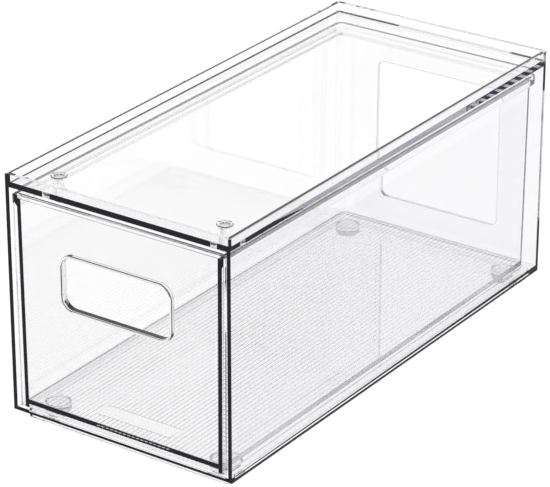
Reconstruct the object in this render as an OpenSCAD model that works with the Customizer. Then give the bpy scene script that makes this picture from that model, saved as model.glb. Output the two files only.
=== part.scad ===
// Stackable clear storage bin: a sleeve open at the front, a pull-out drawer,
// two push-in stop pins through the top plate and four round feet.
// X runs across the bin, -Y is the front, Z = 0 is the surface it stands on.

/* [Housing] */
// Outer width of the housing
body_w = 151.5; // [140:0.5:170]
// Outer depth of the housing, front to back
body_d = 328; // [260:1:360]
// Height of the outer walls, underside to rim
shell_h = 145.5; // [120:0.5:170]
// Thickness of the side and back walls
wall = 2.6; // [2.2:0.1:3]
// Radius of the two upright back corners
corner_r = 2; // [1:0.5:2.5]
// Height of the stacking rim above the top plate
rim_h = 5.1; // [4:0.1:6]
// Thickness of the top plate at the front
top_t = 2.7; // [2.2:0.1:3]
// Thickness of the bottom plate at the front
floor_t = 2.4; // [2:0.1:3]
// How far the ceiling comes down from front to back (moulding draft)
ceiling_fall = 1.6; // [0:0.1:2]
// How far the inside floor rises from front to back (moulding draft)
floor_rise = 1.2; // [0:0.1:1.5]

/* [Rear window] */
// Width of the opening in the back wall
window_w = 84.6; // [60:0.2:100]
// Height of the opening in the back wall
window_h = 88.8; // [60:0.2:100]
// Height of the opening's lower edge above the underside of the housing
window_lift = 23; // [15:0.5:30]
// Corner radius of the opening
window_r = 3.5; // [2:0.5:8]

/* [Plinth and feet] */
// How far the plinth ring stands in from the outer walls
plinth_inset = 5; // [4:0.1:7]
// Height of the plinth ring
plinth_h = 5.15; // [4:0.05:5.5]
// Thickness of the plinth ring
plinth_t = 2.4; // [2:0.1:3]
// Corner radius of the plinth ring
plinth_r = 4; // [3:0.5:8]
// Diameter of a foot
foot_d = 15; // [10:0.5:16]
// Height of a foot, from the underside of the housing to the ground
foot_h = 6; // [5.8:0.1:8]
// Distance of a foot's centre from the side walls' outer faces
foot_side = 18.2; // [16:0.2:24]
// Distance of a foot's centre from the front and back faces
foot_end = 18.6; // [16:0.2:24]

/* [Drawer] */
// How far the drawer's front stands behind the housing's front edge
front_recess = 0.1; // [0:0.1:2]
// Width of the front panel at its top edge
panel_w = 142.2; // [141:0.2:143]
// Thickness of the front panel
panel_t = 2.5; // [2:0.1:3]
// Height of the front panel's lower edge above the underside of the housing
panel_lift = 3.9; // [3.2:0.1:5]
// Clear height between the drawer's top edge and the ceiling at the front
top_gap = 3.25; // [2.5:0.05:5]
// How far the drawer's top edge comes down from front to back
top_fall = 2.6; // [1.6:0.1:3]
// Thickness of the drawer's side and back walls
drawer_t = 2.6; // [2.2:0.1:3]
// Width of the drawer body below its flared rim
drawer_w = 138; // [136:0.2:138.4]
// How far each wall leans in from its rim down to its lower edge
drawer_lean = 0.7; // [0:0.1:1.2]
// How far the rim stands out past the wall
flare = 2.1; // [1.5:0.1:2.1]
// Height of the upright part of the rim at the front
rim_band = 4.6; // [4:0.1:6]
// Distance between the drawer's rim and the housing's back wall
back_gap = 2.8; // [2:0.1:6]
// Running clearance under the drawer
slide_gap = 0.3; // [0.2:0.05:0.6]
// Height of the drawer's floor surface above the underside of the housing
tray_lift = 8.3; // [7.5:0.1:10]
// Thickness of the drawer's floor above its grooves
tray_t = 2.5; // [2:0.1:2.6]
// Depth of the V grooves under the drawer's floor
groove_h = 0.4; // [0.25:0.05:0.8]
// Width of a groove
groove_w = 0.5; // [0.3:0.05:1.2]
// Distance from one groove to the next
rib_pitch = 3; // [2:0.1:3.5]
// Length of the smooth label plate under the floor
label_w = 52; // [30:1:70]
// Width of the label plate
label_d = 12; // [8:1:16]
// Distance of the label plate's centre from the front panel's face
label_y = 18.5; // [14:0.5:30]

/* [Finger opening] */
// Width of the opening in the front panel
grip_w = 73.2; // [60:0.2:90]
// Height of the opening
grip_h = 31.8; // [26:0.2:36]
// Height of the opening's centre above the underside of the housing
grip_lift = 90.8; // [70:0.1:100]
// Corner radius of the opening
grip_r = 7; // [5:0.5:10]
// Thickness of the lip round the opening
lip_t = 1.7; // [1:0.05:2.5]
// How far the lip stands out in front of the panel
lip_h = 2.3; // [1:0.1:4]

/* [Stop pins] */
// Diameter of a pin's shank
pin_d = 5.8; // [4:0.1:7]
// Diameter of a pin's head
pin_head_d = 9.4; // [8:0.1:12]
// Thickness of a pin's head
pin_head_h = 1.2; // [0.8:0.1:2]
// Length of the shank below the head
pin_len = 14.9; // [12:0.1:20]
// Distance of a pin from the middle of the bin
pin_x = 56; // [40:0.5:60]
// Distance of a pin from the front face
pin_y = 22.6; // [18:0.1:30]
// Radial clearance of a pin in its hole
pin_play = 0.05; // [0.02:0.01:0.1]

/* [Hidden] */
$fn = 64;
eps = 0.01;
cut = 1;
ahead = max(lip_h - front_recess, 0);
mid_y = ahead / 2;
front_y = mid_y - body_d / 2;
back_y = mid_y + body_d / 2;
base_z = foot_h;
rim_z = base_z + shell_h;
plate_z = rim_z - rim_h;
ceiling_z = plate_z - top_t;
cavity_w = body_w - 2 * wall;
cavity_back_y = back_y - wall;
cavity_floor_z = base_z + floor_t;
foot_x = body_w / 2 - foot_side;
foot_y = body_d / 2 - foot_end;
drawer_y = front_y + front_recess;
drawer_back_y = cavity_back_y - back_gap;
drawer_top_z = ceiling_z - top_gap;
drawer_low_z = cavity_floor_z + slide_gap;
tray_z = base_z + tray_lift;
groove_z = tray_z - tray_t;
panel_low_z = base_z + panel_lift;
flare_z = drawer_top_z - rim_band;
grip_z = base_z + grip_lift;
pin_top_y = front_y + pin_y;
rib_count = floor((drawer_w - 2 * drawer_lean - 2 * drawer_t) / rib_pitch) - 1;

// A flat rectangle with round corners, centred on the origin
module rounded_rect(w, d, r) {
    square([w - 2 * r, d], center = true);
    square([w, d - 2 * r], center = true);
    for (sx = [-1, 1], sy = [-1, 1])
        translate([sx * (w / 2 - r), sy * (d / 2 - r)]) circle(r = r);
}

// Extrudes a flat outline drawn in (y, z) across the bin, w wide and centred
module across(w) {
    translate([-w / 2, 0, 0]) rotate([90, 0, 90]) linear_extrude(w) children();
}

// Extrudes a flat outline drawn in (x, z) backwards, from y0 to y1
module backwards(y0, y1) {
    translate([0, y1, 0]) rotate([90, 0, 0]) linear_extrude(y1 - y0) children();
}

// Outer block of the housing, square at the front and rounded at the back corners
module housing_block() {
    translate([0, mid_y, base_z]) linear_extrude(shell_h) union() {
        rounded_rect(body_w, body_d, corner_r);
        translate([-body_w / 2, -body_d / 2]) square([body_w, body_d / 2]);
    }
}

// The drawer's space: open at the front, ceiling and floor converging to the back
module housing_cavity() {
    run = cavity_back_y - front_y;
    over_front = cut / run;
    across(cavity_w) polygon([
        [front_y - cut, cavity_floor_z - floor_rise * over_front],
        [cavity_back_y, cavity_floor_z + floor_rise],
        [cavity_back_y, ceiling_z - ceiling_fall],
        [front_y - cut, ceiling_z + ceiling_fall * over_front]]);
}

// Ring that stands under the bottom plate and nests inside the rim of a bin below
module plinth_ring() {
    outer_w = body_w - 2 * plinth_inset;
    outer_d = body_d - 2 * plinth_inset;
    translate([0, mid_y, base_z - plinth_h]) linear_extrude(plinth_h + floor_t / 2) difference() {
        rounded_rect(outer_w, outer_d, plinth_r);
        rounded_rect(outer_w - 2 * plinth_t, outer_d - 2 * plinth_t, plinth_r - plinth_t);
    }
}

// One-piece clear sleeve with its rim, plinth, rear window and pin holes
module housing() {
    color([0.93, 0.95, 0.98, 0.35]) difference() {
        union() {
            housing_block();
            plinth_ring();
        }
        housing_cavity();
        translate([0, mid_y, plate_z]) linear_extrude(rim_h + cut)
            rounded_rect(cavity_w, body_d - 2 * wall, corner_r / 2);
        backwards(cavity_back_y - cut, back_y + cut)
            translate([0, base_z + window_lift + window_h / 2])
                rounded_rect(window_w, window_h, window_r);
        for (side = [-1, 1])
            translate([side * pin_x, pin_top_y, ceiling_z - ceiling_fall - cut])
                cylinder(r = pin_d / 2 + pin_play, h = top_t + ceiling_fall + 2 * cut);
    }
}

// Half-outline of the drawer's wall, from its lower edge to its flared rim.
// x0 is the wall's face just under the rim, t how far the face is set in.
function wall_points(x0, t, low_z) = [
    [x0 - t - drawer_lean * (flare_z - flare - low_z) / (flare_z - flare - drawer_low_z), low_z],
    [x0 - t, flare_z - flare + 0.55 * t],
    [x0 - t + flare, flare_z + 0.55 * t],
    [x0 - t + flare, drawer_top_z + cut]];

function mirrored(points) = [for (i = [len(points) - 1:-1:0]) [-points[i][0], points[i][1]]];

// Solid bounded by the drawer's side and back faces, set in by t, above low_z
module drawer_block(t, low_z, start_y) {
    side = wall_points(drawer_w / 2, t, low_z);
    back = wall_points(drawer_back_y - flare, t, low_z);
    intersection() {
        backwards(start_y, drawer_back_y + cut) polygon(concat(side, mirrored(side)));
        across(body_w) polygon(concat(back, [[start_y, drawer_top_z + cut], [start_y, low_z]]));
    }
}

// Front panel, a little wider at the top, with the thicker bead along its top edge
module front_panel() {
    low_w = panel_w - 2 * drawer_lean;
    backwards(drawer_y, drawer_y + panel_t)
        polygon([[-low_w / 2, panel_low_z], [low_w / 2, panel_low_z],
                 [panel_w / 2, drawer_top_z], [-panel_w / 2, drawer_top_z]]);
    bead_h = 2.7;
    bead_t = panel_t + 0.5;
    translate([-drawer_w / 2, drawer_y, drawer_top_z - bead_h]) cube([drawer_w, bead_t, bead_h]);
}

// Space under the drawer's floor, with fine lengthwise V grooves reaching up into it
module underside() {
    half_w = rib_count * rib_pitch / 2;
    edge_w = drawer_w / 2 - drawer_lean - drawer_t;
    low_z = groove_z - groove_h;
    grooves = [for (i = [0:rib_count - 1], p = [-1, 0, 1])
        [half_w - (i + 0.5) * rib_pitch - p * groove_w / 2, p == 0 ? groove_z : low_z]];
    backwards(drawer_y + panel_t, drawer_back_y - flare - drawer_lean - drawer_t)
        polygon(concat([[-edge_w, drawer_low_z - cut], [edge_w, drawer_low_z - cut], [edge_w, low_z]],
                       grooves, [[-edge_w, low_z]]));
}

// Smooth plate that fills the grooves near the front, where a label would be read
module label_plate() {
    translate([0, drawer_y + label_y, groove_z - groove_h])
        linear_extrude(groove_h + eps) rounded_rect(label_w, label_d, 2);
}

// Rounded outline of the finger opening, grown by g on every side
module grip_outline(g) {
    translate([0, grip_z]) rounded_rect(grip_w + 2 * g, grip_h + 2 * g, grip_r + g);
}

// Pull-out drawer with flared rim, grooved floor and a lip round its finger opening
module drawer() {
    run = drawer_back_y - drawer_y;
    color([0.95, 0.96, 0.98, 0.35]) difference() {
        union() {
            difference() {
                drawer_block(0, drawer_low_z, drawer_y);
                drawer_block(drawer_t, tray_z, drawer_y + panel_t);
                underside();
                // the lower edge rises and the top edge falls towards the back
                across(body_w) polygon([[drawer_y + panel_t, drawer_low_z - cut],
                    [drawer_y + panel_t, drawer_low_z], [drawer_back_y + cut, drawer_low_z + floor_rise],
                    [drawer_back_y + cut, drawer_low_z - cut]]);
                across(body_w) polygon([[drawer_y, drawer_top_z],
                    [drawer_back_y + cut, drawer_top_z - top_fall * (1 + cut / run)],
                    [drawer_back_y + cut, drawer_top_z + 2 * cut], [drawer_y, drawer_top_z + 2 * cut]]);
                translate([-body_w / 2, drawer_y - cut, drawer_low_z - cut])
                    cube([body_w, panel_t + cut, panel_low_z - drawer_low_z + cut]);
            }
            front_panel();
            label_plate();
            backwards(drawer_y - lip_h, drawer_y + panel_t / 2) grip_outline(lip_t);
        }
        backwards(drawer_y - lip_h - cut, drawer_y + panel_t + cut) grip_outline(0);
    }
}

// Push-in stop pin: flat round head on the top plate, shank down into the drawer's space
module stop_pin(side) {
    color([0.88, 0.9, 0.92, 0.5]) translate([side * pin_x, pin_top_y, plate_z]) {
        cylinder(d = pin_head_d, h = pin_head_h);
        translate([0, 0, -pin_len]) cylinder(d = pin_d, h = pin_len + eps);
    }
}

module stop_pin_left() { stop_pin(-1); }
module stop_pin_right() { stop_pin(1); }

// Soft round foot under a corner of the bottom plate
module foot(side, end) {
    color([0.85, 0.87, 0.88, 0.6]) translate([side * foot_x, mid_y + end * foot_y, 0])
        cylinder(d = foot_d, h = foot_h);
}

module foot_front_left() { foot(-1, -1); }
module foot_front_right() { foot(1, -1); }
module foot_back_left() { foot(-1, 1); }
module foot_back_right() { foot(1, 1); }

housing();
drawer();
stop_pin_left();
stop_pin_right();
foot_front_left();
foot_front_right();
foot_back_left();
foot_back_right();
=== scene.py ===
"""Looks of the clear storage bin: a moulded sleeve, its pull-out drawer, two stop pins and four feet."""

import math

import bmesh
import bpy
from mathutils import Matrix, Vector


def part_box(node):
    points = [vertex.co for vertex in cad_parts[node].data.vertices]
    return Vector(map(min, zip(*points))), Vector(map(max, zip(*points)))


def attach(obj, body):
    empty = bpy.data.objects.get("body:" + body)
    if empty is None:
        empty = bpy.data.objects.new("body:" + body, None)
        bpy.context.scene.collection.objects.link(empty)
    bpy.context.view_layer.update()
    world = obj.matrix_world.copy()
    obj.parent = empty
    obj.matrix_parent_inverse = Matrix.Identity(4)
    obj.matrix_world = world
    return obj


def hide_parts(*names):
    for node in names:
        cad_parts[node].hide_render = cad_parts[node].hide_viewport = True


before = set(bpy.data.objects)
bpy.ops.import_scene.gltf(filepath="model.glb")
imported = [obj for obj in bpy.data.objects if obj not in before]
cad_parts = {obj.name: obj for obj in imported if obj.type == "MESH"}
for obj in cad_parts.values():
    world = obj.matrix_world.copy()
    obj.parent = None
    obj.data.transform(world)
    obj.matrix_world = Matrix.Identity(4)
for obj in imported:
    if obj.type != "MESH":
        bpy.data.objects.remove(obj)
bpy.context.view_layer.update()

MM = 0.001
OVER = 1 * MM               # how far a cutting tool reaches past what it cuts

# ------------------------------------------------------------------ places, from the CAD frame
H_LO, H_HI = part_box("housing")
D_LO, D_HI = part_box("drawer")

WALL = 2.6 * MM             # housing side and back walls
RIM_H = 5.1 * MM            # stacking rim above the top plate
TOP_T = 2.7 * MM            # top plate at the front
FLOOR_T = 2.4 * MM          # bottom plate at the front
CEILING_FALL = 1.6 * MM     # the ceiling comes down towards the back
FLOOR_RISE = 1.2 * MM       # the inside floor rises towards the back
PLINTH_H = 5.15 * MM
PLINTH_INSET = 5 * MM
PLINTH_T = 2.4 * MM
PLINTH_R = 4 * MM
BACK_CORNER_R = 2 * MM
WINDOW_W = 84.6 * MM
WINDOW_H = 88.8 * MM
WINDOW_R = 3.5 * MM
WINDOW_LIFT = 23 * MM       # the window's lower edge above the sleeve's underside
PIN_R = 2.9 * MM            # shank of a stop pin
HOLE_R = 2.95 * MM

DRAWER_T = 2.6 * MM         # drawer side and back walls
DRAWER_CORNER_R = 5 * MM    # upright corners at the drawer's back, outside
HOLLOW_CORNER_R = 3 * MM    # and inside
PANEL_T = 2.5 * MM          # drawer front panel
PANEL_LIFT = 3.9 * MM       # the panel's lower edge above the sleeve's underside
BEAD_T = 0.5 * MM           # how much thicker the panel is along its top edge
LEAN = 0.7 * MM             # each drawer wall leans in by this much at its foot
FLARE = 2.1 * MM            # the rim stands out past the wall
FLARE_LOW = 8 * MM          # where the flare starts, below the top edge
FLARE_H = 3 * MM            # height that the flare takes
TOP_FALL = 2.6 * MM         # the drawer's top edge comes down towards the back
LEDGE = 2.7 * MM            # depth of the step inside the rim
RIM_T = 2.5 * MM            # thickness of the rim above the step
FILLET = 0.7 * MM           # where the drawer's floor meets its walls

LIP_H = 2.3 * MM            # how far the lip round the finger opening stands out
LIP_T = 1.7 * MM
GRIP_X = 36.6 * MM          # half the width of the finger opening
GRIP_Z = 15.9 * MM          # half its height
GRIP_R = 7 * MM
GRIP_LIFT = 90.8 * MM       # its middle above the sleeve's underside

TRAY_LIFT = 8.3 * MM        # the drawer's floor above the sleeve's underside
TRAY_T = 2.5 * MM           # thickness of that floor above its grooves
GROOVE_H = 0.4 * MM         # depth of the V grooves under the floor
GROOVE_W = 0.5 * MM
GROOVE_PITCH = 3 * MM
LABEL_X = 26 * MM           # half the length of the smooth plate under the floor
LABEL_Y = 6 * MM            # half its width
LABEL_R = 2 * MM
LABEL_BACK = 18.5 * MM      # its middle behind the panel's face

BASE_Z = H_LO.z + PLINTH_H
PLATE_Z = H_HI.z - RIM_H
CEILING_Z = PLATE_Z - TOP_T
FRONT_Y = H_LO.y
BACK_Y = H_HI.y
INNER_BACK_Y = BACK_Y - WALL
WINDOW_Z = BASE_Z + WINDOW_LIFT
TRAY_Z = BASE_Z + TRAY_LIFT
GROOVE_TOP_Z = TRAY_Z - TRAY_T
UNDER_Z = GROOVE_TOP_Z - GROOVE_H
PANEL_LOW_Z = BASE_Z + PANEL_LIFT
PANEL_Y = FRONT_Y + 0.1 * MM
PANEL_BACK_Y = PANEL_Y + PANEL_T
BEAD_Y = PANEL_BACK_Y + BEAD_T


# ------------------------------------------------------------------ mesh helpers
def link(name, mesh):
    obj = bpy.data.objects.new(name, mesh)
    bpy.context.scene.collection.objects.link(obj)
    return obj


def solid(name, points, faces):
    mesh = bpy.data.meshes.new(name)
    mesh.from_pydata([tuple(p) for p in points], [], faces)
    bm = bmesh.new()
    bm.from_mesh(mesh)
    bmesh.ops.recalc_face_normals(bm, faces=bm.faces)
    bm.to_mesh(mesh)
    bm.free()
    return link(name, mesh)


def loft(name, rings):
    """Closed solid through rings that all have the same number of points."""
    count = len(rings[0])
    points = [p for ring in rings for p in ring]
    faces = [list(range(count))[::-1]]
    for k in range(len(rings) - 1):
        for i in range(count):
            j = (i + 1) % count
            faces.append([k * count + i, k * count + j, (k + 1) * count + j, (k + 1) * count + i])
    last = (len(rings) - 1) * count
    faces.append([last + i for i in range(count)])
    return solid(name, points, faces)


def rounded(x0, x1, y0, y1, radii, steps=6):
    """Outline of a rectangle, counter-clockwise; radii go (x0,y0), (x1,y0), (x1,y1), (x0,y1)."""
    tiny = 0.02 * MM
    outline = []
    corners = ((x0, y0, 1, 1, 180), (x1, y0, -1, 1, 270), (x1, y1, -1, -1, 0), (x0, y1, 1, -1, 90))
    for (cx, cy, sx, sy, start), r in zip(corners, radii):
        r = max(r, tiny)
        for k in range(steps + 1):
            a = math.radians(start + 90 * k / steps)
            outline.append((cx + sx * r + r * math.cos(a), cy + sy * r + r * math.sin(a)))
    return outline


def prism(name, outline, low, high, axis):
    """Extrudes an outline along an axis; the outline lies in the other two axes, in X, Y, Z order."""
    def place(u, v, w):
        return {"X": (w, u, v), "Y": (u, w, v), "Z": (u, v, w)}[axis]
    return loft(name, [[place(u, v, w) for u, v in outline] for w in (low, high)])


def bake(obj):
    """Applies all modifiers of the object to its mesh."""
    graph = bpy.context.evaluated_depsgraph_get()
    mesh = bpy.data.meshes.new_from_object(obj.evaluated_get(graph))
    obj.modifiers.clear()
    old = obj.data
    obj.data = mesh
    bpy.data.meshes.remove(old)


def combine(obj, tools, operation):
    """Adds or cuts each tool in turn, then removes it."""
    for tool in tools:
        modifier = obj.modifiers.new("combine", "BOOLEAN")
        modifier.operation = operation
        modifier.solver = "EXACT"
        modifier.object = tool
        bake(obj)
        bpy.data.objects.remove(tool)


def soften(obj, width, weigh, segments=3):
    """Rounds the sharp edges; weigh(middle) gives each edge's share of the width."""
    bm = bmesh.new()
    bm.from_mesh(obj.data)
    bmesh.ops.remove_doubles(bm, verts=bm.verts, dist=0.001 * MM)
    bmesh.ops.dissolve_limit(bm, angle_limit=math.radians(0.5), verts=bm.verts, edges=bm.edges,
                             delimit={"NORMAL"})
    layer = bm.edges.layers.float.new("bevel_weight_edge")
    for edge in bm.edges:
        if len(edge.link_faces) == 2 and edge.calc_face_angle() > math.radians(50):
            edge[layer] = weigh((edge.verts[0].co + edge.verts[1].co) / 2)
    bm.to_mesh(obj.data)
    bm.free()
    bevel = obj.modifiers.new("bevel", "BEVEL")
    bevel.width = width
    bevel.segments = segments
    bevel.limit_method = "WEIGHT"
    bevel.use_clamp_overlap = False
    bake(obj)
    smooth(obj)


def smooth(obj, angle=32):
    for polygon in obj.data.polygons:
        polygon.use_smooth = True
    obj.data.set_sharp_from_angle(angle=math.radians(angle))
    normals = obj.modifiers.new("normals", "WEIGHTED_NORMAL")
    normals.keep_sharp = True
    normals.weight = 100
    bake(obj)


def revolve(name, profile, centre, steps=48):
    """Solid of revolution about a vertical line; profile is (radius, z) from the axis round to the axis."""
    rings = []
    for r, z in profile:
        r = max(r, 0.01 * MM)
        rings.append([(centre.x + r * math.cos(2 * math.pi * k / steps),
                       centre.y + r * math.sin(2 * math.pi * k / steps), z) for k in range(steps)])
    obj = loft(name, rings)
    smooth(obj, 40)
    return obj


# ------------------------------------------------------------------ materials
def clear_plastic(name, absorption, roughness, ripple, ripple_scale):
    """Clear moulded plastic: tinted by depth, polish that varies a little, and a faint surface ripple.

    absorption is per metre of plastic, for red, green and blue; ripple is the height of the waves.
    """
    material = bpy.data.materials.new(name)
    material.use_nodes = True
    nodes, links = material.node_tree.nodes, material.node_tree.links
    shader = nodes["Principled BSDF"]
    shader.inputs["Base Color"].default_value = (1, 1, 1, 1)
    shader.inputs["Transmission Weight"].default_value = 1
    shader.inputs["IOR"].default_value = 1.57
    place = nodes.new("ShaderNodeTexCoord")

    polish = nodes.new("ShaderNodeTexNoise")
    polish.inputs["Scale"].default_value = 18
    polish.inputs["Detail"].default_value = 3
    level = nodes.new("ShaderNodeMapRange")
    level.inputs["From Min"].default_value = 0.5
    level.inputs["From Max"].default_value = 0.75
    level.inputs["To Min"].default_value = roughness[0]
    level.inputs["To Max"].default_value = roughness[1]
    links.new(place.outputs["Object"], polish.inputs["Vector"])
    links.new(polish.outputs["Fac"], level.inputs["Value"])
    links.new(level.outputs["Result"], shader.inputs["Roughness"])

    waves = nodes.new("ShaderNodeTexNoise")
    waves.inputs["Scale"].default_value = ripple_scale
    waves.inputs["Detail"].default_value = 1
    relief = nodes.new("ShaderNodeBump")
    relief.inputs["Strength"].default_value = 1
    relief.inputs["Distance"].default_value = ripple
    links.new(place.outputs["Object"], waves.inputs["Vector"])
    links.new(waves.outputs["Fac"], relief.inputs["Height"])
    links.new(relief.outputs["Normal"], shader.inputs["Normal"])

    volume = nodes.new("ShaderNodeVolumeAbsorption")
    density = 2 * max(absorption)
    volume.inputs["Density"].default_value = density
    volume.inputs["Color"].default_value = (*[1 - a / density for a in absorption], 1)
    links.new(volume.outputs["Volume"], nodes["Material Output"].inputs["Volume"])
    return material


def paint(obj, material):
    obj.data.materials.clear()
    obj.data.materials.append(material)


# ------------------------------------------------------------------ housing
def plinth_block(name, inset, radius, low, high):
    outline = rounded(-H_HI.x + inset, H_HI.x - inset, FRONT_Y + inset, BACK_Y - inset, [radius] * 4)
    return prism(name, outline, low, high, "Z")


def housing_cavity():
    """Room for the drawer: open at the front, and a little lower at the back."""
    run = INNER_BACK_Y - FRONT_Y
    floor_z = BASE_Z + FLOOR_T
    side = [(FRONT_Y - OVER, floor_z - FLOOR_RISE * OVER / run),
            (INNER_BACK_Y, floor_z + FLOOR_RISE),
            (INNER_BACK_Y, CEILING_Z - CEILING_FALL),
            (FRONT_Y - OVER, CEILING_Z + CEILING_FALL * OVER / run)]
    return prism("cavity", side, -H_HI.x + WALL, H_HI.x - WALL, "X")


def pin_hole(node):
    low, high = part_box(node)
    bottom, top = CEILING_Z - CEILING_FALL - OVER, PLATE_Z + OVER
    return revolve("hole_" + node, [(0, bottom), (HOLE_R, bottom), (HOLE_R, top), (0, top)],
                   (low + high) / 2)


def make_housing():
    x = H_HI.x
    r = BACK_CORNER_R
    body = prism("housing_shell", rounded(-x, x, FRONT_Y, BACK_Y, (0, 0, r, r)), BASE_Z, H_HI.z, "Z")
    plinth = plinth_block("plinth", PLINTH_INSET, PLINTH_R, H_LO.z, BASE_Z + FLOOR_T / 2)
    combine(body, [plinth], "UNION")

    recess = prism("recess", rounded(-x + WALL, x - WALL, FRONT_Y + WALL, BACK_Y - WALL,
                                     (0.5 * MM, 0.5 * MM, MM, MM)), PLATE_Z, H_HI.z + OVER, "Z")
    window = prism("window", rounded(-WINDOW_W / 2, WINDOW_W / 2, WINDOW_Z, WINDOW_Z + WINDOW_H,
                                     [WINDOW_R] * 4), INNER_BACK_Y - OVER, BACK_Y + OVER, "Y")
    under = plinth_block("under", PLINTH_INSET + PLINTH_T, PLINTH_R - PLINTH_T, H_LO.z - OVER, BASE_Z)
    holes = [pin_hole("stop_pin_left"), pin_hole("stop_pin_right")]
    combine(body, [housing_cavity(), recess, window, under, *holes], "DIFFERENCE")

    near = 0.1 * MM

    def weigh(middle):
        in_window = abs(middle.x) < WINDOW_W / 2 + near and middle.y > INNER_BACK_Y - near
        if in_window and abs(middle.z - WINDOW_Z - WINDOW_H / 2) < WINDOW_H / 2 + near:
            return 1
        return 0.3 if middle.z > CEILING_Z else 0.5
    soften(body, 0.3 * MM, weigh)
    return body


# ------------------------------------------------------------------ drawer
def drawer_ring(half_w, front, back, radius, height, top):
    """One level of the drawer's wall. top says whether it follows the falling rim or the rising foot."""
    run = D_HI.y - BEAD_Y

    def level(y):
        share = max(0, y - BEAD_Y) / run
        return height - TOP_FALL * share if top else height + FLOOR_RISE * share
    outline = rounded(-half_w, half_w, front, back, (0, 0, radius, radius))
    return [(x, y, level(y)) for x, y in outline]


def drawer_shell(wall_x, wall_y, foot_x, foot_y):
    """Outside of the side and back walls, from the foot out to the flared rim."""
    top = D_HI.z
    start = PANEL_BACK_Y - 0.5 * MM
    rings = [drawer_ring(foot_x, start, foot_y, DRAWER_CORNER_R, D_LO.z, False)]
    steps = 6
    for k in range(steps + 1):
        share = k / steps
        out = FLARE * (0.5 - 0.5 * math.cos(math.pi * share))
        height = top - FLARE_LOW + FLARE_H * share
        rings.append(drawer_ring(wall_x + out, start, wall_y + out, DRAWER_CORNER_R, height, True))
    rings.append(drawer_ring(D_HI.x, start, D_HI.y, DRAWER_CORNER_R, top, True))
    return loft("drawer_body", rings)


def front_panel():
    low_x = D_HI.x - LEAN
    outline = [(-low_x, PANEL_LOW_Z), (low_x, PANEL_LOW_Z), (D_HI.x, D_HI.z), (-D_HI.x, D_HI.z)]
    return prism("panel", outline, PANEL_Y, PANEL_BACK_Y, "Y")


def drawer_hollow(wall_x, wall_y, in_x, in_y):
    """Inside of the drawer: a fillet round the floor, upright walls, and the step below the rim."""
    r = HOLLOW_CORNER_R
    rings = []
    steps = 6
    for k in range(steps + 1):
        a = math.pi / 2 * k / steps
        inset = FILLET * (1 - math.sin(a))
        outline = rounded(-in_x + inset, in_x - inset, PANEL_BACK_Y + inset * 0.4, in_y - inset,
                          (0, 0, r - inset, r - inset))
        rings.append([(x, y, TRAY_Z + FILLET * (1 - math.cos(a))) for x, y in outline])
    ledge_z = D_HI.z - LEDGE
    rings.append(drawer_ring(wall_x - DRAWER_T, PANEL_BACK_Y, wall_y - DRAWER_T, r, ledge_z, True))
    for height in (ledge_z, D_HI.z + 4 * MM):
        rings.append(drawer_ring(D_HI.x - RIM_T, BEAD_Y, D_HI.y - RIM_T, r, height, True))
    return loft("hollow", rings)


def drawer_underside(wall_x, in_x, in_y):
    """Space under the drawer's floor, with the lengthwise V grooves reaching up into it."""
    grooves = int((wall_x * 2 - 2 * LEAN - 2 * DRAWER_T) / GROOVE_PITCH) - 1
    edge = grooves * GROOVE_PITCH / 2
    outline = [(-in_x, D_LO.z - OVER), (in_x, D_LO.z - OVER), (in_x, UNDER_Z)]
    for k in range(grooves):
        groove_x = edge - (k + 0.5) * GROOVE_PITCH
        outline.append((groove_x + GROOVE_W / 2, UNDER_Z))
        outline.append((groove_x, GROOVE_TOP_Z))
        outline.append((groove_x - GROOVE_W / 2, UNDER_Z))
    outline.append((-in_x, UNDER_Z))
    return prism("under", outline, PANEL_BACK_Y, in_y, "Y")


def finger_block(name, grow, front, back):
    """Block the shape of the finger opening, grown on every side."""
    middle = BASE_Z + GRIP_LIFT
    outline = rounded(-GRIP_X - grow, GRIP_X + grow, middle - GRIP_Z - grow, middle + GRIP_Z + grow,
                      [GRIP_R + grow] * 4, 10)
    return prism(name, outline, front, back, "Y")


def label_block(name, inset, low, high):
    """Block the shape of the smooth plate under the floor, drawn in on every side."""
    half_w, half_d = LABEL_X - inset, LABEL_Y - inset
    middle = PANEL_Y + LABEL_BACK
    outline = rounded(-half_w, half_w, middle - half_d, middle + half_d, [LABEL_R - inset] * 4)
    return prism(name, outline, low, high, "Z")


def make_drawer():
    wall_x, wall_y = D_HI.x - FLARE, D_HI.y - FLARE
    foot_x, foot_y = wall_x - LEAN, wall_y - LEAN
    in_x, in_y = foot_x - DRAWER_T, foot_y - DRAWER_T
    body = drawer_shell(wall_x, wall_y, foot_x, foot_y)
    combine(body, [front_panel()], "UNION")
    hollow = drawer_hollow(wall_x, wall_y, in_x, in_y)
    combine(body, [hollow, drawer_underside(wall_x, in_x, in_y)], "DIFFERENCE")

    combine(body, [finger_block("lip", LIP_T, D_LO.y, PANEL_Y + MM)], "UNION")
    opening = finger_block("grip", 0, PANEL_Y - LIP_H - OVER, PANEL_BACK_Y + OVER)
    combine(body, [opening], "DIFFERENCE")

    # the plate fills the grooves, inside a fine outline
    combine(body, [label_block("label", 0, UNDER_Z, TRAY_Z - MM)], "UNION")
    border = label_block("border", 0.1 * MM, UNDER_Z - OVER, UNDER_Z + 0.3 * MM)
    inside = label_block("inside", 0.4 * MM, UNDER_Z - 2 * OVER, UNDER_Z + OVER)
    combine(border, [inside], "DIFFERENCE")
    combine(body, [border], "DIFFERENCE")

    def weigh(middle):
        if GROOVE_TOP_Z - 1.5 * GROOVE_H < middle.z < GROOVE_TOP_Z + 0.1 * MM:
            return 0
        if middle.y < PANEL_Y - LIP_H / 2:
            return 1.0
        return 0.3
    soften(body, 0.84 * MM, weigh, 5)
    return body


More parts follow.
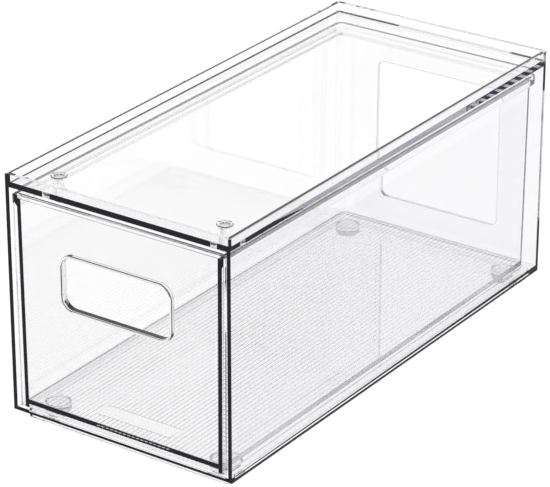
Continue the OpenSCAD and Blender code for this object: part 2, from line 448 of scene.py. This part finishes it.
# ------------------------------------------------------------------ pins and feet
def make_pin(node):
    """Push-in pin: a flat head with a shallow hollow, and a shank with a chamfered end."""
    low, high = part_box(node)
    head_r = (high.x - low.x) / 2
    head_z = PLATE_Z + 0.02 * MM
    profile = [
        (0, low.z), (PIN_R - 0.5 * MM, low.z), (PIN_R, low.z + 0.6 * MM),
        (PIN_R, head_z), (head_r - 0.2 * MM, head_z),
        (head_r, PLATE_Z + 0.3 * MM), (head_r, high.z - 0.4 * MM), (head_r - 0.3 * MM, high.z - 0.1 * MM),
        (head_r - 0.7 * MM, high.z), (head_r - 1.3 * MM, high.z - 0.2 * MM),
        (head_r - 1.6 * MM, high.z - 0.5 * MM), (0, PLATE_Z + 0.1 * MM)]
    return revolve(node + "_moulding", profile, (low + high) / 2)


def make_foot(node):
    """Soft round foot with a domed lower edge."""
    low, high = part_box(node)
    r = (high.x - low.x) / 2
    top = high.z - 0.04 * MM
    profile = [
        (0, low.z), (r - 1.6 * MM, low.z), (r - 0.8 * MM, low.z + 0.25 * MM),
        (r - 0.2 * MM, low.z + 0.9 * MM), (r, low.z + 1.6 * MM),
        (r, top - 0.2 * MM), (r - 0.2 * MM, top), (0, top)]
    return revolve(node + "_pad", profile, (low + high) / 2)


# ------------------------------------------------------------------ the pieces, in place
SHELL_ABSORPTION = (4.5, 4.7, 4.1)
clear_shell = clear_plastic("clear_shell", SHELL_ABSORPTION, (0, 0.004), 0.03 * MM, 14)
clear_drawer = clear_plastic("clear_drawer", SHELL_ABSORPTION, (0, 0.004), 0.03 * MM, 11)
pin_plastic = clear_plastic("pin_plastic", (9, 9, 8), (0, 0.03), 0.01 * MM, 300)
silicone = clear_plastic("silicone", (9, 8.6, 7.8), (0.03, 0.12), 0.01 * MM, 400)

housing = make_housing()
paint(housing, clear_shell)
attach(housing, "housing")
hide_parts("housing")

drawer = make_drawer()
paint(drawer, clear_drawer)
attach(drawer, "drawer")
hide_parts("drawer")

for node in ("stop_pin_left", "stop_pin_right"):
    pin = make_pin(node)
    paint(pin, pin_plastic)
    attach(pin, node)
    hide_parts(node)

for node in ("foot_front_left", "foot_front_right", "foot_back_left", "foot_back_right"):
    foot = make_foot(node)
    paint(foot, silicone)
    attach(foot, "housing")
    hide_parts(node)


# ------------------------------------------------------------------ stage, light and camera
FLOOR_HALF = 3.0            # metres from the middle of the floor to its edge
FLOOR_Z = -0.0002
FLOOR_SEEN = (1.05, 1.05, 1.05, 1)
# painted dark reflection: only for reflection rays the floor glows dimmer and lilac, so the plastic mirrors
# a shade that the floor doesn't have
FLOOR_PAINTED_DARK_REFLECTION = (0.36, 0.34, 0.42, 1)      # duller where the plastic mirrors it
SKY_FRONT = 0.25            # brightness of the surroundings on the camera's side
SKY_BACK = 0.97             # and behind the bin
BACK_SIDE = (-0.57, 0.82, 0)                # direction of the bright side
CAMERA_PLACE = (0.9030, -1.3138, 0.8103)
CAMERA_TARGET = (-0.0194, 0.0148, 0.0560)
BOUNCES = 14


def make_floor():
    size = FLOOR_HALF
    floor = solid("floor", [(-size, -size, FLOOR_Z), (size, -size, FLOOR_Z),
                            (size, size, FLOOR_Z), (-size, size, FLOOR_Z)], [(0, 1, 2, 3)])
    material = bpy.data.materials.new("pale_floor")
    material.use_nodes = True
    nodes, links = material.node_tree.nodes, material.node_tree.links
    shader = nodes["Principled BSDF"]
    shader.inputs["Base Color"].default_value = (0.1, 0.1, 0.1, 1)
    shader.inputs["Roughness"].default_value = 0.9
    shader.inputs["Specular IOR Level"].default_value = 0
    shader.inputs["Emission Strength"].default_value = 1
    # painted reflection: camera rays see the floor evenly bright, reflection rays see it dimmed
    rays = nodes.new("ShaderNodeLightPath")
    glow_and_painted_reflection = nodes.new("ShaderNodeMixRGB")
    glow_and_painted_reflection.inputs["Color1"].default_value = FLOOR_SEEN
    glow_and_painted_reflection.inputs["Color2"].default_value = FLOOR_PAINTED_DARK_REFLECTION
    links.new(rays.outputs["Is Reflection Ray"], glow_and_painted_reflection.inputs["Fac"])
    links.new(glow_and_painted_reflection.outputs["Color"], shader.inputs["Emission Color"])
    paint(floor, material)


def make_sky():
    """Soft studio surroundings: bright behind the bin, darker on the camera's side."""
    world = bpy.data.worlds.new("studio")
    bpy.context.scene.world = world
    world.use_nodes = True
    nodes, links = world.node_tree.nodes, world.node_tree.links
    place = nodes.new("ShaderNodeTexCoord")
    side = nodes.new("ShaderNodeVectorMath")
    side.operation = "DOT_PRODUCT"
    side.inputs[1].default_value = BACK_SIDE
    level = nodes.new("ShaderNodeMapRange")
    level.interpolation_type = "SMOOTHSTEP"
    level.inputs["From Min"].default_value = -0.2
    level.inputs["From Max"].default_value = 0.7
    level.inputs["To Min"].default_value = SKY_FRONT
    level.inputs["To Max"].default_value = SKY_BACK
    links.new(place.outputs["Generated"], side.inputs[0])
    links.new(side.outputs["Value"], level.inputs["Value"])
    nodes["Background"].inputs["Color"].default_value = (1, 1, 1, 1)
    links.new(level.outputs["Result"], nodes["Background"].inputs["Strength"])


def make_camera():
    data = bpy.data.cameras.new("camera")
    data.lens = 196.8
    data.sensor_width = 36
    data.clip_start = 0.1
    data.clip_end = 20
    camera = bpy.data.objects.new("camera", data)
    bpy.context.scene.collection.objects.link(camera)
    camera.location = CAMERA_PLACE
    view = Vector(CAMERA_TARGET) - camera.location
    camera.rotation_euler = view.to_track_quat("-Z", "Y").to_euler()
    bpy.context.scene.camera = camera


make_floor()
make_sky()
make_camera()

scene = bpy.context.scene
scene.view_settings.view_transform = "Standard"
scene.cycles.max_bounces = BOUNCES
scene.cycles.transmission_bounces = BOUNCES
scene.cycles.glossy_bounces = BOUNCES
scene.cycles.diffuse_bounces = 4
scene.cycles.volume_bounces = 0
scene.cycles.sample_clamp_indirect = 0
